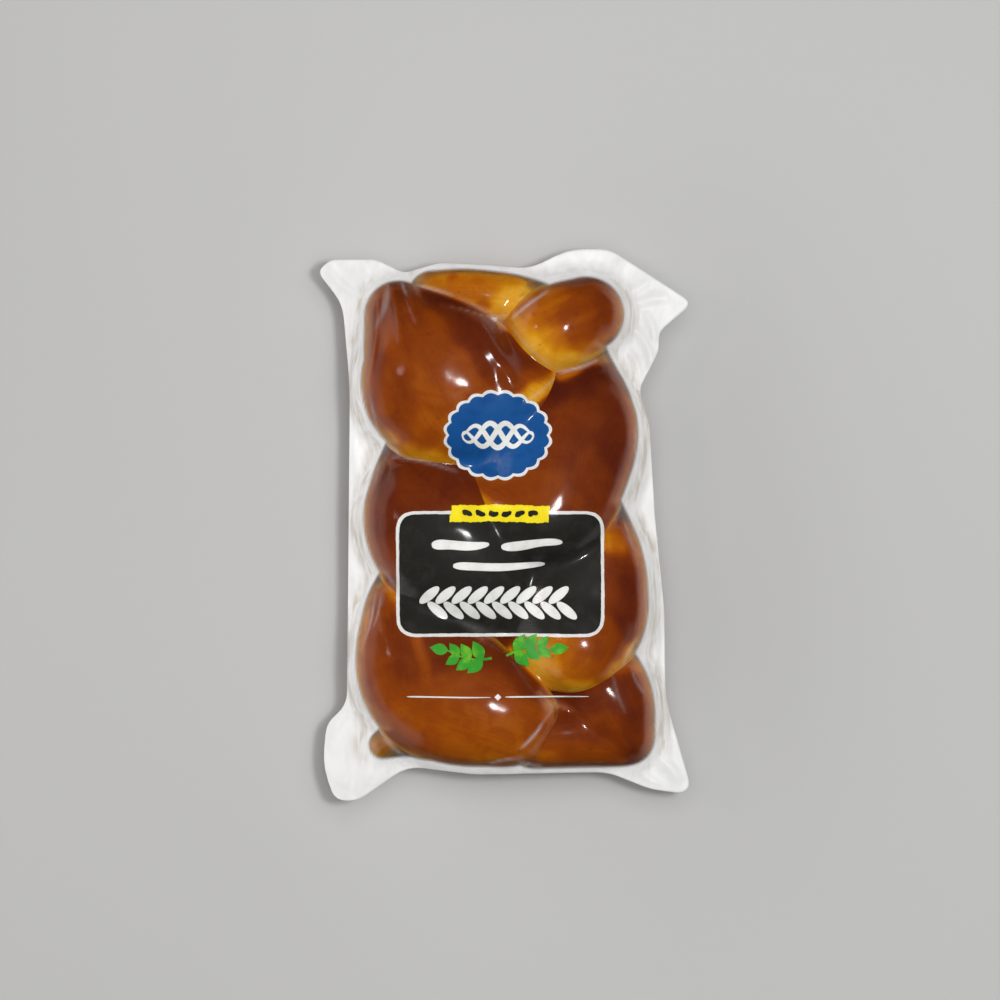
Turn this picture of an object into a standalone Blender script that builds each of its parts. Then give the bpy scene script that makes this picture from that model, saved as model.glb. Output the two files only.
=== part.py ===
"""A braid of smoked string cheese, vacuum sealed in a clear pouch that lies on its back.

X runs across the pack, Y along it, Z up, and the origin is under its middle. Three thick
strands show nine lobes on the front. The sealed pack is one solid: the braid as the tight film
wraps it, with the pouch's sealed rim standing out around it at half height.
"""
import math

import bmesh
import bpy
from mathutils import Matrix, Vector

MM = 0.001

# Driving sizes, in millimetres
PACK_HALF_WIDTH = 48.7
PACK_HALF_LENGTH = 72.3
MID_HEIGHT = 16.6           # of the braid's middle plane and the sealed rim above the table
BACK_DROP = 7.8             # how far a strand sinks below the middle plane behind another
BACK_HALF_WIDTH = 14.0      # of a strand where it passes behind
THICKEST_HALF_STRAND = 11
FILM_RIM = 1.0              # thickness of the two sealed films at the rim
RIM_WAVE = 1.1              # how far the rim waves up and down

# How finely the shapes are made
BALL_STEP = 2.4             # between the balls that a strand is swept with
SKIN_VOXEL = 1.1
GROOVE_SMOOTHING = 7        # rounds of smoothing: the tight film bridges the grooves
BODY_TRIANGLE_SHARE = 0.115
RIM_GRID = 5.5
ARC_STEP = 3                # along the outline's rounded corners

# Every lobe of the front face, from the top of the pack to its foot: its outer shoulder, its
# belly and the inner end that tucks under the next lobe, each as x, y, height above the middle
# plane, and half width. The lobes are as uneven as hand-plaited cheese.
LOBES = {
    "upper end": [(-19, 60.6, -0.5, 6.9), (-8.5, 60.6, 1.4, 7.2), (4.5, 58.3, -1, 7.6)],
    "round end": [(21.3, 55, 1.5, 10.8), (13.3, 51.3, 4.2, 12.0), (5, 46, -2, 10)],
    "first left": [(-27.8, 55, 0, 9.8), (-17.6, 40, 6.6, 20), (-14.5, 36, 5.4, 21.6), (3, 31, 3.2, 14.4)],
    "first right": [(21.2, 29, 0.5, 13.5), (15.5, 20, 3.8, 19.5), (11, 3.5, 7.4, 15), (-6, 5, 1.5, 13.5)],
    "middle left": [(-25.8, 9, 1, 10.5), (-16.2, -3, 5.5, 19.8), (-2, -15, 2, 15)],
    "middle right": [(23.3, -8.5, 1, 13.5), (20.4, -18, 2.8, 18), (19.4, -24.5, 3.6, 18),
                     (19, -33, 7.3, 11), (8, -34.5, 0.5, 10)],
    "last left": [(-25.2, -25, 1, 13), (-18.5, -41, 4.2, 19.5), (-2, -49.4, 7.2, 14.6), (6, -52.5, 2, 10)],
    "last right": [(26.5, -43.5, 2.2, 12.5), (31, -52.5, 0.8, 9.2), (32, -57.2, -0.2, 6.8),
                   (20, -54.8, 0.6, 9.6), (8, -56, 3, 8.6)],
    "lower tip": [(-25, -54, -4, 7.5), (-31.8, -57.5, 0, 4.7)],
}

# The lobes that one strand makes, in order. Between two of them it passes behind the others.
STRANDS = [
    ["round end", "middle left", "last right"],
    ["first left", "middle right", "lower tip"],
    ["upper end", "first right", "last left"],
]
BACK_STATIONS = (0.36, 0.70)    # where a pass behind is pinned, as parts of its way

# The pouch's outline, counterclockwise from the lower right ear: x, y and the corner's radius.
# The long sides are waisted, and an ear of loose film stands out at every corner.
OUTLINE = [
    (PACK_HALF_WIDTH + 0.9, -70.8, 3.5),
    (42.2, -46, 30),
    (41.8, -22, 40),
    (39.4, 2, 40),
    (37.9, 26, 20),
    (35.2, 35.6, 5),
    (40.6, 46, 8),
    (40.2, 50.5, 5),
    (PACK_HALF_WIDTH + 0.8, 58.2, 2.2),
    (27.5, PACK_HALF_LENGTH, 9),
    (17, PACK_HALF_LENGTH, 16),
    (6.5, 67.2, 12),
    (-4, 68, 20),
    (-17, 68.7, 10),
    (-26.5, 66, 4),
    (-33.8, 69.6, 6),
    (-45.5, 69.6, 4),
    (-PACK_HALF_WIDTH - 0.8, 66.6, 2.5),
    (-42.6, 58, 12),
    (-40.6, 36, 60),
    (-41.4, -47.4, 8),
    (-46.8, -52, 7),
    (-47.7, -63, 20),
    (-44.6, -PACK_HALF_LENGTH, 5),
    (-38.5, -PACK_HALF_LENGTH, 8),
    (-25.5, -63.2, 12),
    (-8, -65.2, 30),
    (27, -64.8, 16),
    (38, -69.2, 20),
]


def half_strand(half_width):
    """Half the thickness of a strand: pressed flat where it is wide, round where it is thin."""
    return min(half_width, THICKEST_HALF_STRAND, 7 + 0.2 * half_width)


def strand_stations(lobe_names):
    """All the places a strand goes through, those behind the other strands included."""
    stations = []
    for name in lobe_names:
        if stations:
            last = stations[-1]
            following = LOBES[name][0]
            for part in BACK_STATIONS:
                x = last[0] + (following[0] - last[0]) * part
                y = last[1] + (following[1] - last[1]) * part
                stations.append((x, y, -BACK_DROP, BACK_HALF_WIDTH))
        stations += LOBES[name]
    return [Vector(station) for station in stations]


def smooth_path(stations, step):
    """Points about a step apart on a smooth curve through the stations, of any dimension."""
    ends = [2 * stations[0] - stations[1], 2 * stations[-1] - stations[-2]]
    run = [ends[0], *stations, ends[1]]
    points = []
    for before, start, end, after in zip(run, run[1:], run[2:], run[3:]):
        count = max(2, round((end - start).length / step))
        for i in range(count):
            t = i / count
            bend = (-before + 3 * start - 3 * end + after) * t ** 3
            bend += (2 * before - 5 * start + 4 * end - after) * t ** 2
            points.append((2 * start + (end - before) * t + bend) / 2)
    points.append(stations[-1])
    return points


def rounded_outline(corners):
    """The closed outline as short straight steps, each corner turned with an arc."""
    points = []
    count = len(corners)
    for i, (x, y, radius) in enumerate(corners):
        corner = Vector((x, y))
        before = Vector(corners[i - 1][:2]) - corner
        after = Vector(corners[(i + 1) % count][:2]) - corner
        angle = before.angle(after)
        reach = min(radius / math.tan(angle / 2), before.length / 2, after.length / 2)
        start = corner + before.normalized() * reach
        end = corner + after.normalized() * reach
        steps = max(2, round((math.pi - angle) * reach / ARC_STEP))
        for j in range(steps + 1):
            t = j / steps
            points.append(start * (1 - t) ** 2 + corner * 2 * t * (1 - t) + end * t ** 2)
    return points


def rim_height(x, y):
    """The sealed rim's middle: nearly flat at half height, with soft waves in its ears."""
    along = math.sin(y / 13 + 0.6) * 0.6 + math.sin(x / 9 - y / 17) * 0.4
    far_out = (x / PACK_HALF_WIDTH) ** 2 * (y / PACK_HALF_LENGTH) ** 2
    return MID_HEIGHT + RIM_WAVE * along * (0.4 + 1.6 * far_out)


def mesh_object(name, mesh, collection):
    made = bpy.data.objects.new(name, mesh)
    collection.objects.link(made)
    return made


def hide_as_tool(made):
    made.hide_render = True
    made.display_type = "WIRE"
    return made


def boolean(target, tool, operation):
    modifier = target.modifiers.new(tool.name, "BOOLEAN")
    modifier.operation = operation
    modifier.solver = "EXACT"
    modifier.object = tool


def ball_mesh():
    """One ball of unit radius, for sweeping the strands."""
    shape = bmesh.new()
    bmesh.ops.create_uvsphere(shape, u_segments=32, v_segments=18, radius=1)
    mesh = bpy.data.meshes.new("ball")
    shape.to_mesh(mesh)
    shape.free()
    return mesh


def make_braid(collection):
    """The three strands, swept with flattened balls, under one tight skin."""
    shape = bmesh.new()
    ball = ball_mesh()
    for lobe_names in STRANDS:
        for x, y, z, half_width in smooth_path(strand_stations(lobe_names), BALL_STEP):
            place = Matrix.Translation(Vector((x, y, z + MID_HEIGHT)) * MM)
            size = Vector((half_width, half_width, half_strand(half_width))) * MM
            swept = ball.copy()
            swept.transform(place @ Matrix.Diagonal((*size, 1)))
            shape.from_mesh(swept)
            bpy.data.meshes.remove(swept)
    bpy.data.meshes.remove(ball)
    mesh = bpy.data.meshes.new("cheese_pack")
    shape.to_mesh(mesh)
    shape.free()
    braid = mesh_object("cheese_pack", mesh, collection)
    skin = braid.modifiers.new("tight skin", "REMESH")
    skin.mode = "VOXEL"
    skin.voxel_size = SKIN_VOXEL * MM
    bridging = braid.modifiers.new("bridged grooves", "SMOOTH")
    bridging.factor = 0.5
    bridging.iterations = GROOVE_SMOOTHING
    fewer = braid.modifiers.new("fewer faces", "DECIMATE")
    fewer.ratio = BODY_TRIANGLE_SHARE
    return braid


def make_outline_prism(collection):
    """A block with the pouch's outline, to trim the rim with."""
    outline = bpy.data.curves.new("pouch outline", "CURVE")
    outline.dimensions = "2D"
    outline.fill_mode = "BOTH"
    outline.extrude = 2 * MID_HEIGHT * MM
    points = rounded_outline(OUTLINE)
    spline = outline.splines.new("POLY")
    spline.points.add(len(points) - 1)
    for place, point in zip(spline.points, points):
        place.co = (point.x * MM, point.y * MM, 0, 1)
    spline.use_cyclic_u = True
    drawn = mesh_object("outline curve", outline, collection)
    bpy.context.view_layer.update()
    evaluated = drawn.evaluated_get(bpy.context.evaluated_depsgraph_get())
    mesh = bpy.data.meshes.new_from_object(evaluated)
    bpy.data.objects.remove(drawn)
    shape = bmesh.new()
    shape.from_mesh(mesh)
    bmesh.ops.remove_doubles(shape, verts=shape.verts, dist=0.01 * MM)
    bmesh.ops.recalc_face_normals(shape, faces=shape.faces)
    shape.to_mesh(mesh)
    shape.free()
    return hide_as_tool(mesh_object("outline prism", mesh, collection))


def make_rim(collection):
    """The sealed rim as a waving sheet over the whole pouch, trimmed to its outline."""
    shape = bmesh.new()
    across = 2 * round((PACK_HALF_WIDTH + RIM_GRID) / RIM_GRID)
    along = 2 * round((PACK_HALF_LENGTH + RIM_GRID) / RIM_GRID)
    spread = Matrix.Diagonal((across * RIM_GRID / 2, along * RIM_GRID / 2, 1, 1 / MM)) * MM
    bmesh.ops.create_grid(shape, x_segments=across, y_segments=along, size=1, matrix=spread)
    for vert in shape.verts:
        vert.co.z = rim_height(vert.co.x / MM, vert.co.y / MM) * MM
    mesh = bpy.data.meshes.new("sealed rim")
    shape.to_mesh(mesh)
    shape.free()
    rim = hide_as_tool(mesh_object("sealed rim", mesh, collection))
    films = rim.modifiers.new("two films", "SOLIDIFY")
    films.thickness = FILM_RIM * MM
    films.offset = 0
    boolean(rim, make_outline_prism(collection), "INTERSECT")
    return rim


def make_table_block(collection):
    """What the braid is pressed flat against below."""
    shape = bmesh.new()
    size = Matrix.Diagonal((4 * PACK_HALF_WIDTH, 3 * PACK_HALF_LENGTH, MID_HEIGHT, 1 / MM)) * MM
    place = Matrix.Translation((0, 0, -MID_HEIGHT / 2 * MM))
    bmesh.ops.create_cube(shape, size=1, matrix=place @ size)
    mesh = bpy.data.meshes.new("table block")
    shape.to_mesh(mesh)
    shape.free()
    return hide_as_tool(mesh_object("table block", mesh, collection))


def film_material():
    material = bpy.data.materials.new("film over smoked cheese")
    material.use_nodes = True
    shader = material.node_tree.nodes["Principled BSDF"]
    shader.inputs["Base Color"].default_value = (0.165, 0.035, 0.006, 1)
    shader.inputs["Roughness"].default_value = 0.18
    shader.inputs["Metallic"].default_value = 0
    return material


def make_collection(name):
    collection = bpy.data.collections.new(name)
    bpy.context.scene.collection.children.link(collection)
    return collection


def main():
    for old in list(bpy.data.objects):
        bpy.data.objects.remove(old)
    parts = make_collection("braided cheese pack")
    tools = make_collection("cutters")
    pack = make_braid(parts)
    boolean(pack, make_table_block(tools), "DIFFERENCE")
    boolean(pack, make_rim(tools), "UNION")
    pack.data.materials.append(film_material())
    pack.data.shade_smooth()


main()
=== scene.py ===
"""Looks of a smoked cheese braid in its clear vacuum pouch, lying on its back.

Shape work is in millimetres: X across the pack, Y along it, Z up from the table. Meshes are
made in metres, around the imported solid, which the film and its contents replace.
"""
import math

import bmesh
import bpy
import numpy as np
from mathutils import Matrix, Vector, geometry


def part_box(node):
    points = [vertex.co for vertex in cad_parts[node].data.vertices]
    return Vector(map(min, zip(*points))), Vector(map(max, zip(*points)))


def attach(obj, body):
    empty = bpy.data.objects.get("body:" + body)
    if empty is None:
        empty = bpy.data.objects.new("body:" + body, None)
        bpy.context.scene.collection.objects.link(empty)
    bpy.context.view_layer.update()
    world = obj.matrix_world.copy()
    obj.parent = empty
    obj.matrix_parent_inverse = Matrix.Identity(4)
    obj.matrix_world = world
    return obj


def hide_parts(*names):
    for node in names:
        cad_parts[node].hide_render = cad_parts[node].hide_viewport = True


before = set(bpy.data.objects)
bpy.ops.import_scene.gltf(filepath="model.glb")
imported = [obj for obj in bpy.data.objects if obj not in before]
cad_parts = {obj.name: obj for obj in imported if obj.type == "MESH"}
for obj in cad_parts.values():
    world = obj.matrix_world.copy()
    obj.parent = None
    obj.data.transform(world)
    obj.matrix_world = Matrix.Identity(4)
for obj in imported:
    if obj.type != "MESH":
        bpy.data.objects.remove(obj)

bl_info = {
    "name": "Vacuum-packed cheese braid",
    "version": (1, 0, 0),
    "blender": (4, 5, 0),
    "location": "3D View > Sidebar > Cheese",
    "description": "Smoked cheese strands, their clear pouch, its print and the stage",
    "category": "Object",
}

MM = 0.001
PACK = "cheese_pack"
PACK_LOW, PACK_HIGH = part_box(PACK)
PACK_HALF_WIDTH = (PACK_HIGH.x - PACK_LOW.x) / 2 / MM
PACK_HALF_LENGTH = (PACK_HIGH.y - PACK_LOW.y) / 2 / MM
MID_HEIGHT = 16.6           # of the braid's middle plane and the sealed rim above the table
BACK_DROP = 7.8             # how far a strand sinks below the middle plane behind another
BACK_HALF_WIDTH = 14.0      # of a strand where it passes behind
THICKEST_HALF_STRAND = 11.0
CHEESE_BASE = 0.35          # where the braid is pressed flat
FILM_BASE = 0.06            # where the film under it lies on the table
STEEPEST = 2.2              # slope of the film where it leaves the braid's outer side
GENTLE = 0.9                # slope of the film where it bridges a groove between strands
FAR_OUT = 8.0               # past this distance from the braid all places count alike

# ---------------------------------------------------------------- the braid's form

# Every lobe of the front face: its outer shoulder, its belly and the inner end that tucks
# under the next lobe, each as x, y, height above the middle plane, and half width.
LOBES = {
    "upper end": [(-19, 60.6, -0.5, 6.9), (-8.5, 60.6, 1.4, 7.2), (4.5, 58.3, -1, 7.6)],
    "round end": [(21.3, 55, 1.5, 10.8), (13.3, 51.3, 4.2, 12.0), (5, 46, -2, 10)],
    "first left": [(-27.8, 55, 0, 9.8), (-17.6, 40, 6.6, 20), (-14.5, 36, 5.4, 21.6),
                   (3, 31, 3.2, 14.4)],
    "first right": [(21.2, 29, 0.5, 13.5), (15.5, 20, 3.8, 19.5), (11, 3.5, 7.4, 15), (-6, 5, 1.5, 13.5)],
    "middle left": [(-25.8, 9, 1, 10.5), (-16.2, -3, 5.5, 19.8), (-2, -15, 2, 15)],
    "middle right": [(23.3, -8.5, 1, 13.5), (20.4, -18, 2.8, 18), (19.4, -24.5, 3.6, 18),
                     (19, -33, 7.3, 11), (8, -34.5, 0.5, 10)],
    "last left": [(-25.2, -25, 1, 13), (-18.5, -41, 4.2, 19.5), (-2, -49.4, 7.2, 14.6), (6, -52.5, 2, 10)],
    "last right": [(26.5, -43.5, 2.2, 12.5), (31, -52.5, 0.8, 9.2), (32, -57.2, -0.2, 6.8),
                   (20, -54.8, 0.6, 9.6), (8, -56, 3, 8.6)],
    "lower tip": [(-25, -54, -4, 7.5), (-31.8, -57.5, 0, 4.7)],
}

# The lobes that one strand makes, in order. Between two of them it passes behind the others.
STRANDS = [
    ["round end", "middle left", "last right"],
    ["first left", "middle right", "lower tip"],
    ["upper end", "first right", "last left"],
]
BACK_STATIONS = (0.36, 0.70)    # where a pass behind is pinned, as parts of its way
UNTOUCHED = 0.004               # weight of the plain brown where no line reaches

# How the smoke took: lines on the lobes from x, y to x, y, how far each reaches, and the tone
# there, from 0, cream, over amber and brown to 1, nearly black.
TONES = {
    "upper end": [
        (-22, 66, -14, 65.5, 3, 0.3), (-13, 62, -5, 63, 4, 0.34), (-8, 66.5, 2, 65.5, 2.5, 0.3),
        (3, 58, 9, 62, 3.5, 0.06), (-3, 56, 2, 55, 2.4, 0.08), (-17, 63.3, -12, 61, 1.2, 0.36),
        (-8, 57, -3, 54, 1.5, 0.14), (-14, 65, -13, 65.4, 0.8, 0.62), (-6.5, 59, -5, 57, 0.8, 0.52),
    ],
    "round end": [
        (25, 62, 28.5, 53, 4.5, 0.74), (20, 62, 18, 54, 4.5, 0.56), (24, 49, 20, 51, 3, 0.5),
        (11, 56, 14, 61, 3, 0.4), (6, 56, 4, 53, 3, 0.32), (11, 50, 14, 48, 2.5, 0.24),
        (21, 46.5, 26, 48, 1.8, 0.34), (12, 42.5, 23, 42.5, 2.2, 0.05), (2, 53.5, 12, 42, 1.6, 0.06),
    ],
    "first left": [
        (-33.5, 58, -34.5, 36, 2.6, 0.7), (-30.3, 60, -30, 30, 1.5, 0.56), (-26, 61, -24, 50, 3.5, 0.7),
        (-22, 50, -17, 42, 4.5, 0.62), (-26, 38, -27, 26, 2.6, 0.66), (-14, 45, -9, 36, 3, 0.52),
        (-20, 36, -18, 24, 5, 0.5), (-14, 57, -5, 42, 2.6, 0.84), (-8, 50, 2, 44, 4, 0.86),
        (-19, 61, -3, 53.5, 2.6, 0.9), (-12, 56, -4, 47, 3.6, 0.86), (-2, 51, 8, 44, 3.4, 0.84),
        (0, 46, 8, 41.5, 3, 0.72), (-4, 43, 2, 37.5, 2.6, 0.66), (5, 38.5, 9, 38.5, 1.8, 0.5),
        (3.5, 32.5, 13.5, 38.6, 1.5, 0.07), (-30, 21.5, -25, 17.5, 2, 0.24),
        (-24, 17.2, -11, 14.8, 2.4, 0.08), (-13, 24, -4, 28, 4, 0.42),
    ],
    "first right": [
        (11, 34.5, 25, 38.5, 3, 0.97), (28, 36, 31, 30, 3, 0.82), (20, 27, 15, 19, 5, 0.74),
        (28, 22, 31, 12, 4, 0.88), (20, 15, 24, 6, 5, 0.72), (0, 12, 6, 9, 4, 0.62),
        (12, 13, 12, 8, 3, 0.64), (-6, 12, -2, 14, 2.5, 0.52), (-13, 12.5, -5, 4.5, 1.7, 0.2),
        (14, 38.7, 26, 43.4, 1, 0.16), (20, 2, 30, 2, 2.5, 0.7),
    ],
    "middle left": [
        (-31, 18, -14, 9.5, 3.2, 0.84), (-33, 10, -33, -2, 4, 0.84), (-25, 5, -18, 0, 5, 0.78),
        (-31, -6, -28, -12, 2.5, 0.7), (-27, -16, -25, -18, 1.6, 0.52), (-15, -8, -5, -15, 6, 0.7),
        (-32, 20, -30, 17.5, 1, 0.3),
    ],
    "middle right": [
        (31, 0, 35, -9, 2.5, 0.62), (32, -13, 34, -26, 3.5, 0.88), (27, -10, 26, -20, 3, 0.74),
        (24, 0, 29, -5, 2.2, 0.28), (25, -27, 27, -33, 3, 0.62), (19, -36, 24, -38.5, 3, 0.48),
        (14, -30, 17, -38, 2.6, 0.36), (9, -32, 13, -38, 2.6, 0.17), (4, -34, 13, -42.6, 1.7, 0.06),
        (14, -43, 24, -41.6, 1.7, 0.14), (27, -39.5, 35, -31, 1.5, 0.12), (20, -30, 20, -34, 2, 0.46),
    ],
    "last left": [
        (-35, -20, -35.5, -36, 2.4, 0.66), (-31.5, -18, -32, -34, 2, 0.6),
        (-27, -28, -26, -38, 3.2, 0.7), (-18, -28, -17, -36, 2.6, 0.8),
        (-22.6, -29.5, -20.4, -41, 1.1, 0.52), (-12, -33, -2, -33, 3, 0.82), (0, -36, 8, -41, 2.6, 0.8),
        (-12, -40, -2, -42, 3.4, 0.6), (-25, -44, -20, -54, 4.5, 0.54), (-12, -49, -14, -58, 5, 0.49),
        (-1, -52, 3, -56, 4, 0.48), (7, -49, 10, -51, 2.5, 0.52), (-6, -62, 2, -62, 2, 0.38),
        (-33, -13.5, -26, -21, 1.7, 0.16), (4, -58, 6, -57, 1.5, 0.4), (-24, -60, -14, -63, 1.6, 0.44),
    ],
    "last right": [
        (16, -46, 27, -44.5, 2.6, 0.82), (32, -42, 35.5, -50, 3, 0.84), (13, -50, 17, -50, 2.8, 0.8),
        (9, -56, 13, -55, 3, 0.62), (22, -54, 28, -56, 4, 0.68), (17, -60, 27, -61, 3, 0.56),
        (6, -60.5, 13, -61.5, 2, 0.42), (34, -53, 35, -61, 2.5, 0.8), (31, -37, 34, -37.5, 1.4, 0.52),
    ],
    "lower tip": [
        (-35.5, -57, -32, -58, 1.6, 0.4), (-31, -57, -26, -60, 2, 0.16), (-34, -60, -28, -61, 1, 0.12),
    ],
}

# The pouch's outline, counterclockwise from the lower right ear: x, y and the corner's radius.
OUTLINE = [
    (PACK_HALF_WIDTH + 0.9, -70.8, 3.5),
    (42.2, -46, 30),
    (41.8, -22, 40),
    (39.4, 2, 40),
    (37.9, 26, 20),
    (35.2, 35.6, 5),
    (40.6, 46, 8),
    (40.2, 50.5, 5),
    (PACK_HALF_WIDTH + 0.8, 58.2, 2.2),
    (27.5, PACK_HALF_LENGTH, 9),
    (17, PACK_HALF_LENGTH, 16),
    (6.5, 67.2, 12),
    (-4, 68, 20),
    (-17, 68.7, 10),
    (-26.5, 66, 4),
    (-33.8, 69.6, 6),
    (-45.5, 69.6, 4),
    (-PACK_HALF_WIDTH - 0.8, 66.6, 2.5),
    (-42.6, 58, 12),
    (-40.6, 36, 60),
    (-41.4, -47.4, 8),
    (-46.8, -52, 7),
    (-47.7, -63, 20),
    (-44.6, -PACK_HALF_LENGTH, 5),
    (-38.5, -PACK_HALF_LENGTH, 8),
    (-25.5, -63.2, 12),
    (-8, -65.2, 30),
    (27, -64.8, 16),
    (38, -69.2, 20),
]
EAR_TIPS = [(-44, -71.5), (48.2, -69), (48.2, 58.2), (-48.4, 66.6)]


def half_strand(half_width):
    """Half the thickness of a strand: pressed flat where it is wide, round where it is thin."""
    return min(half_width, THICKEST_HALF_STRAND, 7 + 0.2 * half_width)


def strand_stations(lobe_names):
    """All the places a strand goes through, those behind the other strands included."""
    stations = []
    for name in lobe_names:
        if stations:
            last = stations[-1]
            following = LOBES[name][0]
            for part in BACK_STATIONS:
                x = last[0] + (following[0] - last[0]) * part
                y = last[1] + (following[1] - last[1]) * part
                stations.append((x, y, -BACK_DROP, BACK_HALF_WIDTH))
        stations += LOBES[name]
    return np.array(stations, float)


def strand_path(lobe_names, step):
    """Rows of x, y, z, half width and half thickness along one strand, about a step apart."""
    stations = strand_stations(lobe_names)
    run = np.vstack([2 * stations[0] - stations[1], stations, 2 * stations[-1] - stations[-2]])
    rows = []
    for before, start, end, after in zip(run, run[1:], run[2:], run[3:]):
        count = max(2, round(np.linalg.norm(end - start) / step))
        for t in np.arange(count) / count:
            bend = (-before + 3 * start - 3 * end + after) * t ** 3
            bend += (2 * before - 5 * start + 4 * end - after) * t ** 2
            rows.append((2 * start + (end - before) * t + bend) / 2)
    rows.append(stations[-1])
    rows = np.array(rows)
    rows[:, 2] += MID_HEIGHT
    thickness = np.array([half_strand(width) for width in rows[:, 3]])
    return np.column_stack([rows, thickness])


def rim_height(x, y):
    """The sealed rim's middle: nearly flat at half height, with soft waves in its ears."""
    along = np.sin(y / 13 + 0.6) * 0.6 + np.sin(x / 9 - y / 17) * 0.4
    far_out = (x / PACK_HALF_WIDTH) ** 2 * (y / PACK_HALF_LENGTH) ** 2
    return MID_HEIGHT + 1.1 * along * (0.4 + 1.6 * far_out)


def lumps(x, y):
    """How uneven the pressed strands are, within half a millimetre."""
    slow = np.sin(x / 5.3 + 1.7 * np.sin(y / 9.1)) * np.sin(y / 6.1 + 1.1 * np.sin(x / 7.7))
    quick = np.sin(x / 2.3 + y / 3.7 + 2 * np.sin(y / 4.9)) * np.sin(y / 2.9 - x / 4.1)
    return 0.22 * slow + 0.07 * quick


def smooth_step(values, start, end):
    share = np.clip((values - start) / (end - start), 0, 1)
    return share * share * (3 - 2 * share)


# ---------------------------------------------------------------- heights over the pack

class Relief:
    """One number for every place over the pack, on a square grid."""

    STEP = 0.5
    MARGIN = 4.0

    def __init__(self, values=None):
        half_x = PACK_HALF_WIDTH + self.MARGIN
        half_y = PACK_HALF_LENGTH + self.MARGIN
        self.xs = np.arange(-half_x, half_x + self.STEP, self.STEP)
        self.ys = np.arange(-half_y, half_y + self.STEP, self.STEP)
        self.x, self.y = np.meshgrid(self.xs, self.ys)
        self.values = values

    def at(self, x, y):
        """The value at each place, between the grid's own."""
        column = np.clip((np.asarray(x) - self.xs[0]) / self.STEP, 0, len(self.xs) - 1.001)
        row = np.clip((np.asarray(y) - self.ys[0]) / self.STEP, 0, len(self.ys) - 1.001)
        i = column.astype(int)
        j = row.astype(int)
        s = column - i
        t = row - j
        low = self.values[j, i] * (1 - s) + self.values[j, i + 1] * s
        high = self.values[j + 1, i] * (1 - s) + self.values[j + 1, i + 1] * s
        return low * (1 - t) + high * t


def braid_reliefs(paths):
    """How high and how low the film rests on the braid, and how far each place is outside it.

    The film follows a strand's round only as far as the steepest slope it lies on, and leaves
    it there in a straight line: gently over the grooves, steeply at the braid's outer side.
    """
    top = Relief()
    bottom = Relief()
    outside = Relief()
    heights = {slope: np.full(top.x.shape, -1000.0) for slope in (STEEPEST, GENTLE)}
    depths = {slope: np.full(top.x.shape, 1000.0) for slope in (STEEPEST, GENTLE)}
    outside.values = np.full(top.x.shape, FAR_OUT)
    for x, y, z, width, thickness in np.vstack(paths):
        window = width + FAR_OUT
        rows = slice(*np.searchsorted(top.ys, (y - window, y + window)))
        columns = slice(*np.searchsorted(top.xs, (x - window, x + window)))
        apart = np.hypot(top.x[rows, columns] - x, top.y[rows, columns] - y)
        share = apart / width
        flat = thickness / width
        for slope in (STEEPEST, GENTLE):
            leaving = slope / math.hypot(slope, flat)
            rise = thickness * np.sqrt(np.clip(1 - np.minimum(share, leaving) ** 2, 0, 1))
            rise -= slope * width * np.maximum(share - leaving, 0)
            heights[slope][rows, columns] = np.maximum(heights[slope][rows, columns], z + rise)
            depths[slope][rows, columns] = np.minimum(depths[slope][rows, columns], z - rise)
        outside.values[rows, columns] = np.minimum(outside.values[rows, columns], apart - width)
    inside = smooth_step(outside.values, -0.6, -4.0)
    top.values = heights[STEEPEST] * (1 - inside) + heights[GENTLE] * inside
    bottom.values = depths[STEEPEST] * (1 - inside) + depths[GENTLE] * inside
    uneven = lumps(top.x, top.y)
    top.values += uneven
    bottom.values = np.maximum(bottom.values - uneven, CHEESE_BASE)
    return top, bottom, outside


def drawn_down(obstacle, pull, rounds=260):
    """A stretched film that the vacuum draws down onto an obstacle below it."""
    film = obstacle.copy()
    sag = pull * Relief.STEP ** 2 / 4
    for _ in range(rounds):
        middle = (film[1:-1, :-2] + film[1:-1, 2:] + film[:-2, 1:-1] + film[2:, 1:-1]) / 4
        film[1:-1, 1:-1] = np.maximum(obstacle[1:-1, 1:-1], middle - sag[1:-1, 1:-1])
    return film


def softened(film, rounds=6):
    """The same film without the finest corners."""
    for _ in range(rounds):
        film[1:-1, 1:-1] += (film[1:-1, :-2] + film[1:-1, 2:] - 2 * film[1:-1, 1:-1]) / 4
        film[1:-1, 1:-1] += (film[:-2, 1:-1] + film[2:, 1:-1] - 2 * film[1:-1, 1:-1]) / 4
    return film


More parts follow.
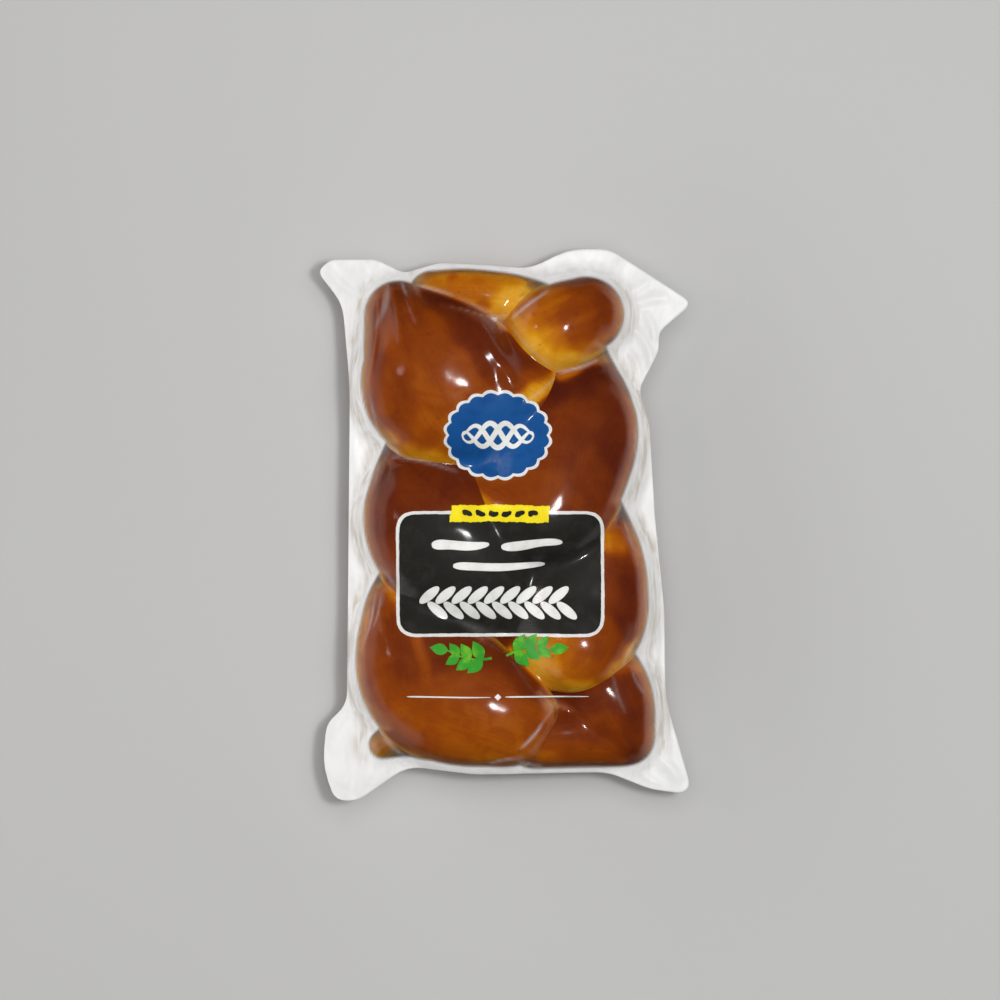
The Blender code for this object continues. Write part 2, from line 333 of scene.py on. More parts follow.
# Long folds in the film: x and y of both ends, bow to the left, half width and height.
FRONT_FOLDS = [
    (-31.5, 66, -27, 46, 0.8, 0.7, 0.45), (-29, 65.5, -21.5, 50, 0.5, 0.7, 0.35),
    (-26, 65, -17, 52, -0.5, 0.6, 0.3), (-34, 64, -36, 38, 1.5, 0.8, 0.55),
    (-37, 62, -38.6, 30, 1, 0.7, 0.6), (-38, 60, -46.5, 67.5, 1, 1.2, 0.5),
    (-35, 64.5, -37, 69, 0.3, 1.2, 0.45), (-39.2, 50, -39.8, 12, 0.3, 0.6, 0.55),
    (-38.2, 22, -39.6, -14, -0.6, 0.7, 0.55), (-33, 22, -29, 17.5, 0.5, 0.6, 0.45),
    (-37.5, 12, -35.5, -10, -1.2, 0.7, 0.45), (-39.5, -10, -40.3, -40, 0.6, 0.7, 0.55),
    (-36, -14, -38.4, -34, 0.9, 0.6, 0.45), (-34.5, -17.5, -31, -30, 0.4, 0.5, 0.25),
    (-38.5, -46, -45.5, -56, -1, 1.3, 0.6), (-36, -50, -42.5, -69, 1.2, 1.5, 0.6),
    (-33.5, -60.5, -39.5, -70.5, 0.8, 1.2, 0.5), (-30, -62.5, -34.5, -68, 0.5, 0.9, 0.4),
    (33.5, 57.5, 43.5, 59.5, 0.8, 1.3, 0.5), (32.5, 61, 38, 64.5, -0.6, 1.1, 0.45),
    (29, 64.5, 31, 70, 0.4, 1.2, 0.45), (33.5, 52, 38.5, 40, 1.6, 1, 0.55),
    (31.5, 46.5, 35.5, 38, 1, 0.8, 0.5), (36.5, 56, 39, 47, 1, 0.9, 0.45),
    (35.8, 36, 36.6, 12, -0.5, 0.6, 0.45), (33.8, 34.5, 35.9, 24, -0.6, 0.5, 0.4),
    (35.6, 3, 39.3, -14, -0.9, 0.6, 0.45), (34, 1.5, 38, -10, -0.8, 0.5, 0.35),
    (39.6, -20, 39.2, -40, 0.6, 0.7, 0.5), (37, -36.5, 33, -31, 0.6, 0.5, 0.35),
    (40.5, -42, 42.5, -62, 0.6, 0.9, 0.5), (38.5, -60, 46, -67.5, 0.8, 1.3, 0.55),
    (34, -63, 41, -68.5, -0.5, 1, 0.45), (-2, 66.5, 6, 63.5, 0.4, 0.6, 0.3),
    (1.5, 56.5, 6, 60, 0.4, 0.5, 0.4), (-6.5, -30.5, 4, -38, 0.5, 0.5, 0.25),
    (-8.7, 57, 5, 32.7, 0, 2.8, 1.5), (14.5, -44.5, 7, -58, 0.8, 0.5, 0.35),
    (-14.5, 13.5, -5, 4.5, 0.4, 0.5, 0.35),
]


# Creases where the film is milky though it lies on the cheese, in the same terms: thin milky lines along
# the grooves and folds that also paint the film's bright highlights there.
GLINT_FOLDS = [
    (-24.5, 62.8, -13, 59.6, 0.3, 0.3, 0.34), (-13, 59.8, 0, 52.6, 0.2, 0.25, 0.16),
    (-27.2, 65.4, -25.4, 59.6, -0.3, 0.22, 0.26), (-31.2, 63, -34.6, 50, 1.2, 0.6, 0.14),
    (-30.6, 63.6, -31.8, 54, 0.6, 0.3, 0.18), (-36.4, 57, -37.2, 38, -0.7, 0.4, 0.4),
    (-37.6, 50, -34.2, 24, -1.6, 0.35, 0.4), (-35, 34, -31.8, 22, -0.6, 0.3, 0.3),
    (1.5, 53.6, 11.5, 61, 0.3, 0.28, 0.42), (1, 52.8, 12.8, 41, -0.8, 0.25, 0.16),
    (13.2, 39.8, 25, 43.6, -0.7, 0.32, 0.4), (4.5, 31.4, 13.2, 38.6, -0.5, 0.25, 0.2),
    (-30.5, 17.8, -12, 13.6, 0.8, 0.28, 0.22), (-33.2, 22.4, -27, 17.8, 0.5, 0.32, 0.34),
    (-36.6, 10, -35.4, -8, -0.7, 0.35, 0.24), (-32.6, 18, -35, 8, 0.4, 0.3, 0.22),
    (-34, -9.5, -28.5, -16.4, 0.5, 0.3, 0.26), (-34, -17, -37.4, -32, 0.8, 0.32, 0.3),
    (-32.2, -17, -34.4, -27, 0.5, 0.25, 0.2), (-36.6, -43, -24, -62, -2.6, 0.35, 0.32),
    (34.6, 30, 34.4, 12, -0.5, 0.35, 0.3), (34, 9, 28.6, 0.2, -0.8, 0.3, 0.3),
    (31, 2.2, 36.4, -10, -0.8, 0.32, 0.24), (37, -12, 37.2, -27, -0.4, 0.35, 0.3),
    (35.2, -29, 30.6, -37, -0.6, 0.28, 0.3), (28, -38.5, 31.5, -49, -0.5, 0.25, 0.14),
    (33, -37, 37.8, -45, -0.9, 0.28, 0.2), (9.8, -51.4, 4, -58, 0.4, 0.28, 0.5),
    (13.6, -45, 9, -52, 0.6, 0.3, 0.16), (-4, -62, 5, -60.4, 0.3, 0.22, 0.3),
    (3, -61.2, 10, -63, -0.3, 0.25, 0.3),
]
PAINTED_SIDE_SHEEN = 0.10                 # painted sheen: milkiness standing in for the film's reflection over the braid's sides
PAINTED_EDGE_SHEEN = 0.08            # and the painted sheen added along its silhouette


def folds(x, y, table):
    """Low ridges in the film, tapering to both ends."""
    height = np.zeros_like(x)
    for x0, y0, x1, y1, bow, width, rise in table:
        length = math.hypot(x1 - x0, y1 - y0)
        ux = (x1 - x0) / length
        uy = (y1 - y0) / length
        t = ((x - x0) * ux + (y - y0) * uy) / length
        off = (y - y0) * ux - (x - x0) * uy - bow * 4 * t * (1 - t)
        taper = np.sqrt(np.clip(4 * t * (1 - t), 0, 1))
        height = np.maximum(height, rise * taper * np.exp(-(off / width) ** 2))
    return height


class Pouch:
    """The film's outer and the cheese's heights, front and back."""

    def __init__(self, cheese_gap, groove_radius, rim_radius, rim_film):
        self.paths = [strand_path(names, 0.5) for names in STRANDS]
        top, bottom, self.outside = braid_reliefs(self.paths)
        x, y = top.x, top.y
        rim = rim_height(x, y)
        pull = np.where(self.outside.values < 0, 1 / groove_radius, 1 / rim_radius)
        creased = folds(x, y, FRONT_FOLDS)
        obstacle = np.maximum(top.values + cheese_gap, rim + rim_film / 2)
        front = softened(drawn_down(obstacle, pull)) + creased
        obstacle = np.maximum(cheese_gap - bottom.values, rim_film / 2 - rim)
        back = -softened(drawn_down(obstacle, pull))
        back = np.where(self.outside.values > 0, back + 0.8 * creased, back)
        back = np.minimum(back, front - rim_film)
        self.front = Relief(front)
        self.back = Relief(np.maximum(back, FILM_BASE))
        # Painted highlights: these milky lines stand in for the film's glints along the grooves and
        # creases.
        self.creased = Relief(folds(x, y, GLINT_FOLDS))
        climb_y, climb_x = np.gradient(self.outside.values)
        self.sideways = Relief(climb_x ** 2 / (climb_x ** 2 + climb_y ** 2 + 1e-6))

    def haze_at(self, x, y):
        """How milky the film is: clear on the braid, loose past its silhouette, a painted sheen between
        that stands in for its reflection on the braid's sides, and painted glints along its creases.
        """
        outside = self.outside.at(x, y)
        loose = smooth_step(outside, -1.4, -0.4)
        painted_sheen = PAINTED_SIDE_SHEEN * smooth_step(outside, -4.2, -2.2) + PAINTED_EDGE_SHEEN * smooth_step(outside, -2.0, -0.8)
        # The painted sheen falls only on the braid's left and right sides, where the side walls would be
        # mirrored.
        painted_sheen *= self.sideways.at(x, y)
        return np.maximum(np.maximum(loose, painted_sheen), self.creased.at(x, y))


_pouches = {}


def pouch_for(settings):
    """The pouch's heights for these settings, worked out once."""
    sizes = (settings.cheese_gap, settings.groove_radius, settings.rim_radius, settings.rim_film)
    if sizes not in _pouches:
        _pouches[sizes] = Pouch(*(size / MM for size in sizes))
    return _pouches[sizes]


def rounded_outline(corners, step):
    """The closed outline as short straight steps, each corner turned with an arc."""
    points = []
    count = len(corners)
    for i, (x, y, radius) in enumerate(corners):
        corner = Vector((x, y))
        before = Vector(corners[i - 1][:2]) - corner
        after = Vector(corners[(i + 1) % count][:2]) - corner
        angle = before.angle(after)
        reach = min(radius / math.tan(angle / 2), before.length / 2, after.length / 2)
        start = corner + before.normalized() * reach
        end = corner + after.normalized() * reach
        steps = max(3, round((math.pi - angle) * reach / step))
        for j in range(steps + 1):
            t = j / steps
            points.append(start * (1 - t) ** 2 + corner * 2 * t * (1 - t) + end * t ** 2)
    return np.array([tuple(point) for point in points])


def spaced(points, count):
    """Points evenly spaced along an open line, count of them after the first."""
    steps = np.linalg.norm(np.diff(points, axis=0), axis=1)
    along = np.concatenate([[0], np.cumsum(steps)])
    wanted = np.linspace(0, along[-1], count + 1)
    return np.column_stack([np.interp(wanted, along, points[:, axis]) for axis in (0, 1)])


def patch_over_outline(across, lengthways):
    """A grid of places that fills the pouch's outline, from ear to ear."""
    outline = rounded_outline(OUTLINE, 0.8)
    tips = [int(np.argmin(np.linalg.norm(outline - tip, axis=1))) for tip in EAR_TIPS]
    sides = []
    for start, end, count in zip(tips, tips[1:] + tips[:1], (across, lengthways) * 2):
        end = end if end > start else end + len(outline)
        picked = np.arange(start, end + 1) % len(outline)
        sides.append(spaced(outline[picked], count))
    low, right, high, left = sides
    high = high[::-1]
    left = left[::-1]
    u = np.linspace(0, 1, across + 1)[None, :, None]
    v = np.linspace(0, 1, lengthways + 1)[:, None, None]
    ruled = (1 - v) * low[None] + v * high[None] + (1 - u) * left[:, None] + u * right[:, None]
    corners = (1 - v) * ((1 - u) * low[0] + u * low[-1]) + v * ((1 - u) * high[0] + u * high[-1])
    return ruled - corners


# ---------------------------------------------------------------- settings

def colour_setting(name, description, default):
    return bpy.props.FloatVectorProperty(
        name=name, description=description, default=default, subtype="COLOR")


def length_setting(name, description, default):
    return bpy.props.FloatProperty(name=name, description=description, default=default, unit="LENGTH")


def level_setting(name, description, default):
    return bpy.props.FloatProperty(name=name, description=description, default=default, min=0)


# ---------------------------------------------------------------- meshes

def mesh_from(name, points, faces):
    """A smooth-shaded object from places in millimetres."""
    mesh = bpy.data.meshes.new(name)
    mesh.from_pydata(np.asarray(points) * MM, [], faces)
    mesh.shade_smooth()
    made = bpy.data.objects.new(name, mesh)
    bpy.context.scene.collection.objects.link(made)
    return made


def store(mesh, name, values):
    """One number, or three, for every vertex, for the material to read."""
    values = np.asarray(values, np.float32)
    if values.ndim == 1:
        mesh.attributes.new(name, "FLOAT", "POINT").data.foreach_set("value", values)
    else:
        mesh.attributes.new(name, "FLOAT_VECTOR", "POINT").data.foreach_set("vector", values.ravel())


def vertex_places(mesh):
    places = np.empty(len(mesh.vertices) * 3)
    mesh.vertices.foreach_get("co", places)
    return places.reshape(-1, 3) / MM


def made_plain(source, name):
    """The evaluated object as a plain mesh object, and the source removed."""
    bpy.context.view_layer.update()
    evaluated = source.evaluated_get(bpy.context.evaluated_depsgraph_get())
    mesh = bpy.data.meshes.new_from_object(evaluated)
    mesh.name = name
    bpy.data.objects.remove(source)
    made = bpy.data.objects.new(name, mesh)
    bpy.context.scene.collection.objects.link(made)
    return made


def dress(piece, material):
    """Gives a finished piece its material and its body."""
    piece.data.materials.clear()
    piece.data.materials.append(material)
    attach(piece, "root")
    return piece


# ---------------------------------------------------------------- node trees

class Tree:
    """Short calls for building a node tree."""

    def __init__(self, tree):
        self.tree = tree

    def add(self, kind, inputs=None, **settings):
        node = self.tree.nodes.new(kind)
        for name, value in settings.items():
            setattr(node, name, value)
        for name, value in (inputs or {}).items():
            self.put(node.inputs[name], value)
        return node

    def put(self, socket, value):
        if isinstance(value, bpy.types.NodeSocket):
            self.tree.links.new(value, socket)
        else:
            socket.default_value = value

    def maths(self, operation, *values, clamp=False):
        node = self.add("ShaderNodeMath", operation=operation, use_clamp=clamp)
        for socket, value in zip(node.inputs, values):
            self.put(socket, value)
        return node.outputs[0]

    def ranged(self, value, low, high, to_low=0.0, to_high=1.0):
        inputs = {"Value": value, "From Min": low, "From Max": high, "To Min": to_low, "To Max": to_high}
        return self.add("ShaderNodeMapRange", inputs, interpolation_type="SMOOTHSTEP").outputs["Result"]

    def mixed(self, share, first, second, blend="MIX"):
        node = self.add("ShaderNodeMix", data_type="RGBA", blend_type=blend)
        self.put(node.inputs[0], share)
        self.put(node.inputs[6], first)
        self.put(node.inputs[7], second)
        return node.outputs[2]

    def noise(self, vector, scale, detail=2.0, roughness=0.5, distortion=0.0):
        inputs = {"Vector": vector, "Scale": scale, "Detail": detail}
        inputs.update({"Roughness": roughness, "Distortion": distortion})
        return self.add("ShaderNodeTexNoise", inputs).outputs["Fac"]

    def attribute(self, name, output="Fac"):
        return self.add("ShaderNodeAttribute", attribute_name=name).outputs[output]

    def stretched(self, vector, scale):
        return self.add("ShaderNodeMapping", {"Vector": vector, "Scale": scale}).outputs[0]

    def bump(self, height, strength, distance):
        inputs = {"Height": height, "Strength": strength, "Distance": distance}
        return self.add("ShaderNodeBump", inputs).outputs["Normal"]


def new_material(name):
    """An empty material's tree and its output socket for the surface."""
    material = bpy.data.materials.new(name)
    material.use_nodes = True
    material.node_tree.nodes.clear()
    tree = Tree(material.node_tree)
    surface = tree.add("ShaderNodeOutputMaterial").inputs["Surface"]
    tree.object_place = tree.add("ShaderNodeTexCoord").outputs["Object"]
    return material, tree, surface


def painted(material, tree, surface, inputs):
    """Ends a material in one Principled shader."""
    shader = tree.add("ShaderNodeBsdfPrincipled", inputs)
    tree.put(surface, shader.outputs[0])
    return material


def shader_group(name, inputs, outputs):
    """An empty shader node group with named sockets: each input with its default."""
    group = bpy.data.node_groups.new(name, "ShaderNodeTree")
    for socket_name, kind, default in inputs:
        socket = group.interface.new_socket(socket_name, in_out="INPUT", socket_type=kind)
        if default is not None:
            socket.default_value = default
    for socket_name, kind in outputs:
        group.interface.new_socket(socket_name, in_out="OUTPUT", socket_type=kind)
    tree = Tree(group)
    tree.inside = tree.add("NodeGroupInput").outputs
    tree.result = tree.add("NodeGroupOutput").inputs
    return group, tree


def film_creases_group():
    """The film's own relief in millimetres: slow waves, and fine creases where it is slack."""
    name = "film creases"
    if name in bpy.data.node_groups:
        return bpy.data.node_groups[name]
    inputs = [
        ("Place", "NodeSocketVector", None),
        ("Crimp", "NodeSocketFloat", 0.0),
    ]
    group, tree = shader_group(name, inputs, [("Height", "NodeSocketFloat")])
    place = tree.inside["Place"]
    waves = tree.maths("MULTIPLY", tree.noise(place, 150, 1, 0.4, 0.3), 0.14)
    crimps = tree.noise(tree.stretched(place, (1.0, 0.30, 1.0)), 480, 2, 0.5, 1.0)
    ridged = tree.maths("ABSOLUTE", tree.maths("SUBTRACT", crimps, 0.5))
    creases = tree.maths("MULTIPLY", ridged, tree.ranged(tree.inside["Crimp"], 0.0, 1.0, 0.0, 0.5))
    tree.put(tree.result["Height"], tree.maths("ADD", waves, creases))
    return group


# ---------------------------------------------------------------- materials

def cheese_material(look):
    """Smoked skin: cream and amber in the folds, chestnut where it lay open, in fine bands, with painted
    light paling the rims and the braid's sides.
    """
    material, tree, surface = new_material("smoked cheese")
    place = tree.object_place
    grain = tree.attribute("grain", "Vector")
    bands = tree.noise(tree.stretched(grain, (0.03, 3.0, 3.0)), 1.0, 3, 0.55, 0.3)
    threads = tree.noise(tree.stretched(grain, (0.08, 22.0, 22.0)), 1.0, 2, 0.6, 0.2)
    mottle = tree.noise(place, 150, 4, 0.6, 0.5)
    # The smoke attribute also holds painted light: paler rims and sides that lift the shade on steep
    # edges.
    tone = tree.maths("ADD", tree.attribute("smoke"), tree.ranged(bands, 0.3, 0.7, -0.035, 0.035))
    tone = tree.maths("ADD", tone, tree.ranged(mottle, 0.3, 0.7, -0.05, 0.05))
    tone = tree.maths("ADD", tone, tree.ranged(threads, 0.3, 0.7, -0.01, 0.01), clamp=True)
    ramp = tree.add("ShaderNodeValToRGB", {"Fac": tone})
    stops = ramp.color_ramp.elements
    stops[0].color = (*look.cream, 1)
    stops[1].color = (*look.darkest, 1)
    between = {0.13: look.amber, 0.32: look.deep_amber, 0.52: look.orange, 0.72: look.brown}
    between[0.88] = look.chestnut
    for position, colour in between.items():
        stops.new(position).color = (*colour, 1)
    freckles = tree.ranged(tree.noise(place, 520, 2, 0.5), 0.64, 0.74, 0.0, 0.30)
    colour = tree.mixed(freckles, ramp.outputs["Color"], (*look.chestnut, 1))
    inputs = {
        "Base Color": colour,
        "Roughness": tree.ranged(mottle, 0.3, 0.7, 0.46, 0.62),
        "Specular IOR Level": 0.10,
        "Subsurface Weight": 0.08,
        "Subsurface Radius": (1.0, 0.35, 0.1),
        "Subsurface Scale": 0.002,
        "Normal": tree.bump(tree.maths("ADD", threads, mottle), 0.25, 0.0004),
    }
    return painted(material, tree, surface, inputs)


def film_material(look):
    """Clear film: only its gloss shows where it clings, and a milky haze where it is loose, with painted
    sheen on the braid's sides and painted glints along its creases.
    """
    material, tree, surface = new_material("clear vacuum film")
    place = tree.object_place
    slack = tree.attribute("slack")
    crimp = tree.attribute("crimp")
    creases = tree.add("ShaderNodeGroup", node_tree=film_creases_group())
    tree.put(creases.inputs["Place"], place)
    tree.put(creases.inputs["Crimp"], crimp)
    normal = tree.bump(creases.outputs["Height"], 1.0, MM)
    clouds = tree.noise(tree.stretched(place, (1.0, 0.5, 1.0)), 150, 3, 0.6, 0.6)
    streaks = tree.noise(tree.stretched(place, (1.0, 0.14, 1.0)), 620, 2, 0.5, 0.5)
    cover = tree.ranged(clouds, 0.3, 0.7, look.haze * 0.92, look.haze * 1.06)
    haze = tree.maths("MULTIPLY", slack, cover, clamp=True)
    # Painted shade: darker beige streaks where the margin is crinkled.
    shaded = tree.maths("MULTIPLY", tree.ranged(streaks, 0.36, 0.72, 0.12, 1.0), crimp)
    colour = tree.mixed(shaded, (*look.milk, 1), (*look.crimped, 1))
    clear = tree.add("ShaderNodeBsdfTransparent", {"Color": (0.985, 0.985, 0.985, 1)})
    upright = tree.maths("SIGN", tree.add("ShaderNodeSeparateXYZ", {"Vector": normal}).outputs["Z"])
    lift = tree.add("ShaderNodeCombineXYZ", {"Z": tree.maths("MULTIPLY", upright, look.scatter)})
    eased = tree.add("ShaderNodeVectorMath", {0: normal, 1: lift.outputs[0]}, operation="ADD")
    unit = tree.add("ShaderNodeVectorMath", {0: eased.outputs[0]}, operation="NORMALIZE")
    inputs = {
        "Base Color": colour,
        "Roughness": 0.4,
        "Specular IOR Level": 0.3,
        "Normal": unit.outputs[0],
    }
    milk = tree.add("ShaderNodeBsdfPrincipled", inputs)
    body = tree.add("ShaderNodeMixShader", {0: haze, 1: clear.outputs[0], 2: milk.outputs[0]})
    sheen = tree.ranged(slack, 0.3, 1.0, 0.12, 0.34)
    gloss = tree.add("ShaderNodeBsdfGlossy", {"Color": (1, 1, 1, 1), "Roughness": sheen, "Normal": normal})
    mirror = tree.add("ShaderNodeFresnel", {"IOR": 1.28, "Normal": normal})
    film = tree.add("ShaderNodeMixShader", {0: mirror.outputs[0], 1: body.outputs[0], 2: gloss.outputs[0]})
    tree.put(surface, film.outputs[0])
    return material


def ink_material(name, colour, second):
    """Opaque ink on the film's inside: a little uneven, and blotched with its second shade."""
    material, tree, surface = new_material(name)
    place = tree.object_place
    cover = tree.noise(place, 260, 4, 0.65, 0.3)
    shade = tree.mixed(tree.ranged(cover, 0.42, 0.72), (*colour, 1), (*second, 1))
    creases = tree.add("ShaderNodeGroup", node_tree=film_creases_group())
    tree.put(creases.inputs["Place"], place)
    inputs = {
        "Base Color": shade,
        "Roughness": tree.ranged(cover, 0.3, 0.7, 0.5, 0.65),
        "Specular IOR Level": 0.2,
        "Normal": tree.bump(creases.outputs["Height"], 1.0, MM),
    }
    return painted(material, tree, surface, inputs)


# ---------------------------------------------------------------- cheese strands

def modifier_tree(name, sockets):
    """A Geometry Nodes tree with geometry in and out and more named inputs, and these inputs."""
    group = bpy.data.node_groups.new(name, "GeometryNodeTree")
    group.interface.new_socket("Geometry", in_out="OUTPUT", socket_type="NodeSocketGeometry")
    for socket_name, kind in {"Geometry": "NodeSocketGeometry", **sockets}.items():
        group.interface.new_socket(socket_name, in_out="INPUT", socket_type=kind)
    nodes = Tree(group)
    return group, nodes, nodes.add("NodeGroupInput").outputs


def end_with_balls(nodes, inputs, skin):
    """Puts a ball at every point, makes the balls real and gives them their skin."""
    balls = nodes.add("GeometryNodeInstanceOnPoints", inputs)
    real = nodes.add("GeometryNodeRealizeInstances", {"Geometry": balls.outputs["Instances"]})
    inputs = {"Geometry": real.outputs["Geometry"], "Material": skin}
    dressed = nodes.add("GeometryNodeSetMaterial", inputs)
    result = nodes.add("NodeGroupOutput").inputs
    nodes.put(result["Geometry"], dressed.outputs["Geometry"])


def sweep_tree():
    """Geometry nodes: a flattened ball at every point, of that point's own reach."""
    sockets = {"Ball sides": "NodeSocketInt", "Skin": "NodeSocketMaterial"}
    group, nodes, given = modifier_tree("strand sweep", sockets)
    rings = nodes.maths("DIVIDE", given["Ball sides"], 2.0)
    ball = nodes.add("GeometryNodeMeshUVSphere", {"Segments": given["Ball sides"], "Rings": rings})
    ball.inputs["Radius"].default_value = 1.0
    reach = nodes.add("GeometryNodeInputNamedAttribute", {"Name": "reach"}, data_type="FLOAT_VECTOR")
    inputs = {
        "Points": given["Geometry"],
        "Instance": ball.outputs["Mesh"],
        "Scale": reach.outputs["Attribute"],
    }
    end_with_balls(nodes, inputs, given["Skin"])
    return group


def set_inputs(modifier, values):
    """Sets a Geometry Nodes modifier's inputs by the names of their sockets."""
    for item in modifier.node_group.interface.items_tree:
        if item.item_type == "SOCKET" and item.in_out == "INPUT" and item.name in values:
            modifier[item.identifier] = values[item.name]


def swept_strand(name, path, look, tree, material):
    """One strand's skin, as a closed mesh."""
    source = mesh_from(name + "_path", path[:, :3], [])
    reach = path[:, [3, 3, 4]] * MM
    store(source.data, "reach", reach)
    sweep = source.modifiers.new("sweep", "NODES")
    sweep.node_group = tree
    set_inputs(sweep, {"Ball sides": look.ball_sides, "Skin": material})
    skin = source.modifiers.new("skin", "REMESH")
    skin.mode = "VOXEL"
    skin.voxel_size = look.skin_voxel
    relax = source.modifiers.new("relax", "SMOOTH")
    relax.factor = 0.5
    relax.iterations = 5
    strand = made_plain(source, name)
    places = vertex_places(strand.data)
    side = np.clip((places[:, 2] - MID_HEIGHT) / 5, -1, 1)
    places[:, 2] += lumps(places[:, 0], places[:, 1]) * side
    places[:, 2] = np.maximum(places[:, 2], CHEESE_BASE)
    strand.data.vertices.foreach_set("co", (places * MM).ravel())
    strand.data.shade_smooth()
    return strand


def in_chunks(places, path, work):
    """Calls work with a slab of places against every row of a path, and joins what it gives."""
    found = []
    for start in range(0, len(places), 4000):
        slab = places[start:start + 4000, None, :]
        apart = (slab - path[None, :, :3]) / path[None, :, [3, 3, 4]]
        found.append(work(slab, np.linalg.norm(apart, axis=2)))
    return np.concatenate(found)


def strand_grain(places, path):
    """How far along its strand a place is, and how far to the side as a share of the width."""
    steps = np.linalg.norm(np.diff(path[:, :3], axis=0), axis=1)
    along = np.concatenate([[0], np.cumsum(steps)])
    ways = np.gradient(path[:, :2], axis=0)
    ways /= np.linalg.norm(ways, axis=1)[:, None]

    def work(slab, reach):
        weight = np.exp(-30 * (reach - reach.min(1)[:, None]))
        weight /= weight.sum(1)[:, None]
        off = slab[:, :, :2] - path[None, :, :2]
        aside = (ways[None, :, 0] * off[:, :, 1] - ways[None, :, 1] * off[:, :, 0]) / path[None, :, 3]
        seed = np.zeros(len(slab))
        return np.column_stack([(weight * along).sum(1), (weight * aside).sum(1), seed])

    return in_chunks(places, path, work)


def past_edge(places, path):
    """How far outside its own strand's silhouette each place is, seen from above."""
    found = np.full(len(places), FAR_OUT)
    for x, y, _, width, _ in path:
        found = np.minimum(found, np.hypot(places[:, 0] - x, places[:, 1] - y) - width)
    return found


def smoke_tone_and_painted_light(names, places, edge, outside, sideways):
    """How the smoke took at each place of a strand: a blend of the tones around it.

    A strand's rim is paler, partly where it lay against the next one and partly as painted light that
    lifts the shade on its steep edge; the braid's left and right sides are painted lighter, standing in
    for light they miss.
    """
    x, y = places[:, 0], places[:, 1]
    swayed_x = x + 0.5 * np.sin(y / 2.3 + 2 * np.sin(x / 4.7)) + 0.2 * np.sin(y / 0.9 + x / 1.7)
    swayed_y = y + 0.5 * np.sin(x / 2.7 + 2 * np.sin(y / 5.1)) + 0.2 * np.sin(x / 1.1 - y / 1.9)
    total = np.full(len(places), 0.78 * UNTOUCHED)
    weight = np.full(len(places), UNTOUCHED)
    for x0, y0, x1, y1, reach, tone in (line for name in names for line in TONES[name]):
        length = max(math.hypot(x1 - x0, y1 - y0), 0.01)
        along = ((swayed_x - x0) * (x1 - x0) + (swayed_y - y0) * (y1 - y0)) / length ** 2
        along = np.clip(along, 0, 1)
        apart = (swayed_x - x0 - along * (x1 - x0)) ** 2 + (swayed_y - y0 - along * (y1 - y0)) ** 2
        share = np.exp(-apart / reach ** 2)
        total += tone * share
        weight += share
    above = smooth_step(places[:, 2], MID_HEIGHT - 7, MID_HEIGHT - 4)
    # Painted light, in part: the rim turns towards cream where it lay against the next one, and also to
    # lift the shade on its steep edge.
    rim = smooth_step(edge, -1.7, -0.3) * above
    # Painted light: the braid's steep left and right sides are made paler to lift the shade they fall in.
    side = smooth_step(outside, -4.8, -1.0) * above * (0.35 + 0.65 * sideways)
    return total / weight * (1 - 0.85 * rim) * (1 - 0.75 * side)


class BraidLook(bpy.types.PropertyGroup):
    ball_sides: bpy.props.IntProperty(
        name="Ball sides", description="Sides of each ball of a strand's sweep", default=40, min=12)
    sweep_step: length_setting("Sweep step", "Distance between the balls", 0.0015)
    skin_voxel: length_setting("Skin voxel", "Fineness of a strand's skin", 0.0008)
    cream: colour_setting("Cream", "Bare cheese in a fold", (0.80, 0.47, 0.05))
    amber: colour_setting("Amber", "Skin that little smoke reached", (0.70, 0.32, 0.008))
    deep_amber: colour_setting("Deep amber", "Next to the folds", (0.50, 0.15, 0.003))
    orange: colour_setting("Orange", "Lightly smoked skin", (0.33, 0.068, 0.002))
    brown: colour_setting("Brown", "Smoked skin", (0.215, 0.036, 0.003))
    chestnut: colour_setting("Chestnut", "Well smoked skin", (0.145, 0.021, 0.004))
    darkest: colour_setting("Darkest", "The darkest skin", (0.098, 0.012, 0.004))


class CHEESE_OT_strands(bpy.types.Operator):
    """Make the three strands of smoked cheese"""
    bl_idname = "cheese.strands"
    bl_label = "Cheese strands"

    def execute(self, context):
        look = context.scene.braid_look
        pouch = pouch_for(context.scene.pouch_look)
        material = cheese_material(look)
        tree = sweep_tree()
        paths = [strand_path(names, look.sweep_step / MM) for names in STRANDS]
        for index, path in enumerate(paths):
            strand = swept_strand(f"cheese_strand_{index + 1}", path, look, tree, material)
            places = vertex_places(strand.data)
            grain = strand_grain(places, path)
            outside = pouch.outside.at(places[:, 0], places[:, 1])
            sideways = pouch.sideways.at(places[:, 0], places[:, 1])
            # These tones hold the smoke's colour and the painted light that lifts the rims and the braid's
            # sides.
            tones_and_painted_light = smoke_tone_and_painted_light(STRANDS[index], places, past_edge(places, path), outside, sideways)
            store(strand.data, "smoke", tones_and_painted_light)
            grain[:, 2] = 7.3 * index
            store(strand.data, "grain", grain)
            dress(strand, material)
        return {"FINISHED"}


# ---------------------------------------------------------------- pouch

class PouchLook(bpy.types.PropertyGroup):
    cheese_gap: length_setting("Gap", "Between the cheese and the film's outside", 0.0003)
    groove_radius: length_setting("Groove radius", "How the film bends into a groove", 0.0024)
    rim_radius: length_setting("Rim radius", "How the film bends out to the rim", 0.0013)
    rim_film: length_setting("Rim film", "Thickness of the two sealed films", 0.0003)
    cells_across: bpy.props.IntProperty(
        name="Cells across", description="Fineness of the film's mesh", default=166, min=20)
    cells_along: bpy.props.IntProperty(
        name="Cells along", description="Fineness of the film's mesh", default=250, min=20)
    haze: bpy.props.FloatProperty(
        name="Haze", description="Milkiness of loose film", default=0.92, min=0, max=1)
    scatter: level_setting("Scatter", "How evenly the haze scatters light on slopes", 1.2)
    milk: colour_setting("Milk", "Colour of the haze", (0.94, 0.94, 0.935))
    # Painted shade: the darker beige of the streaks in the margin's crinkles.
    crimped: colour_setting("Crimped", "Streaks in the crimped margin", (0.62, 0.55, 0.46))


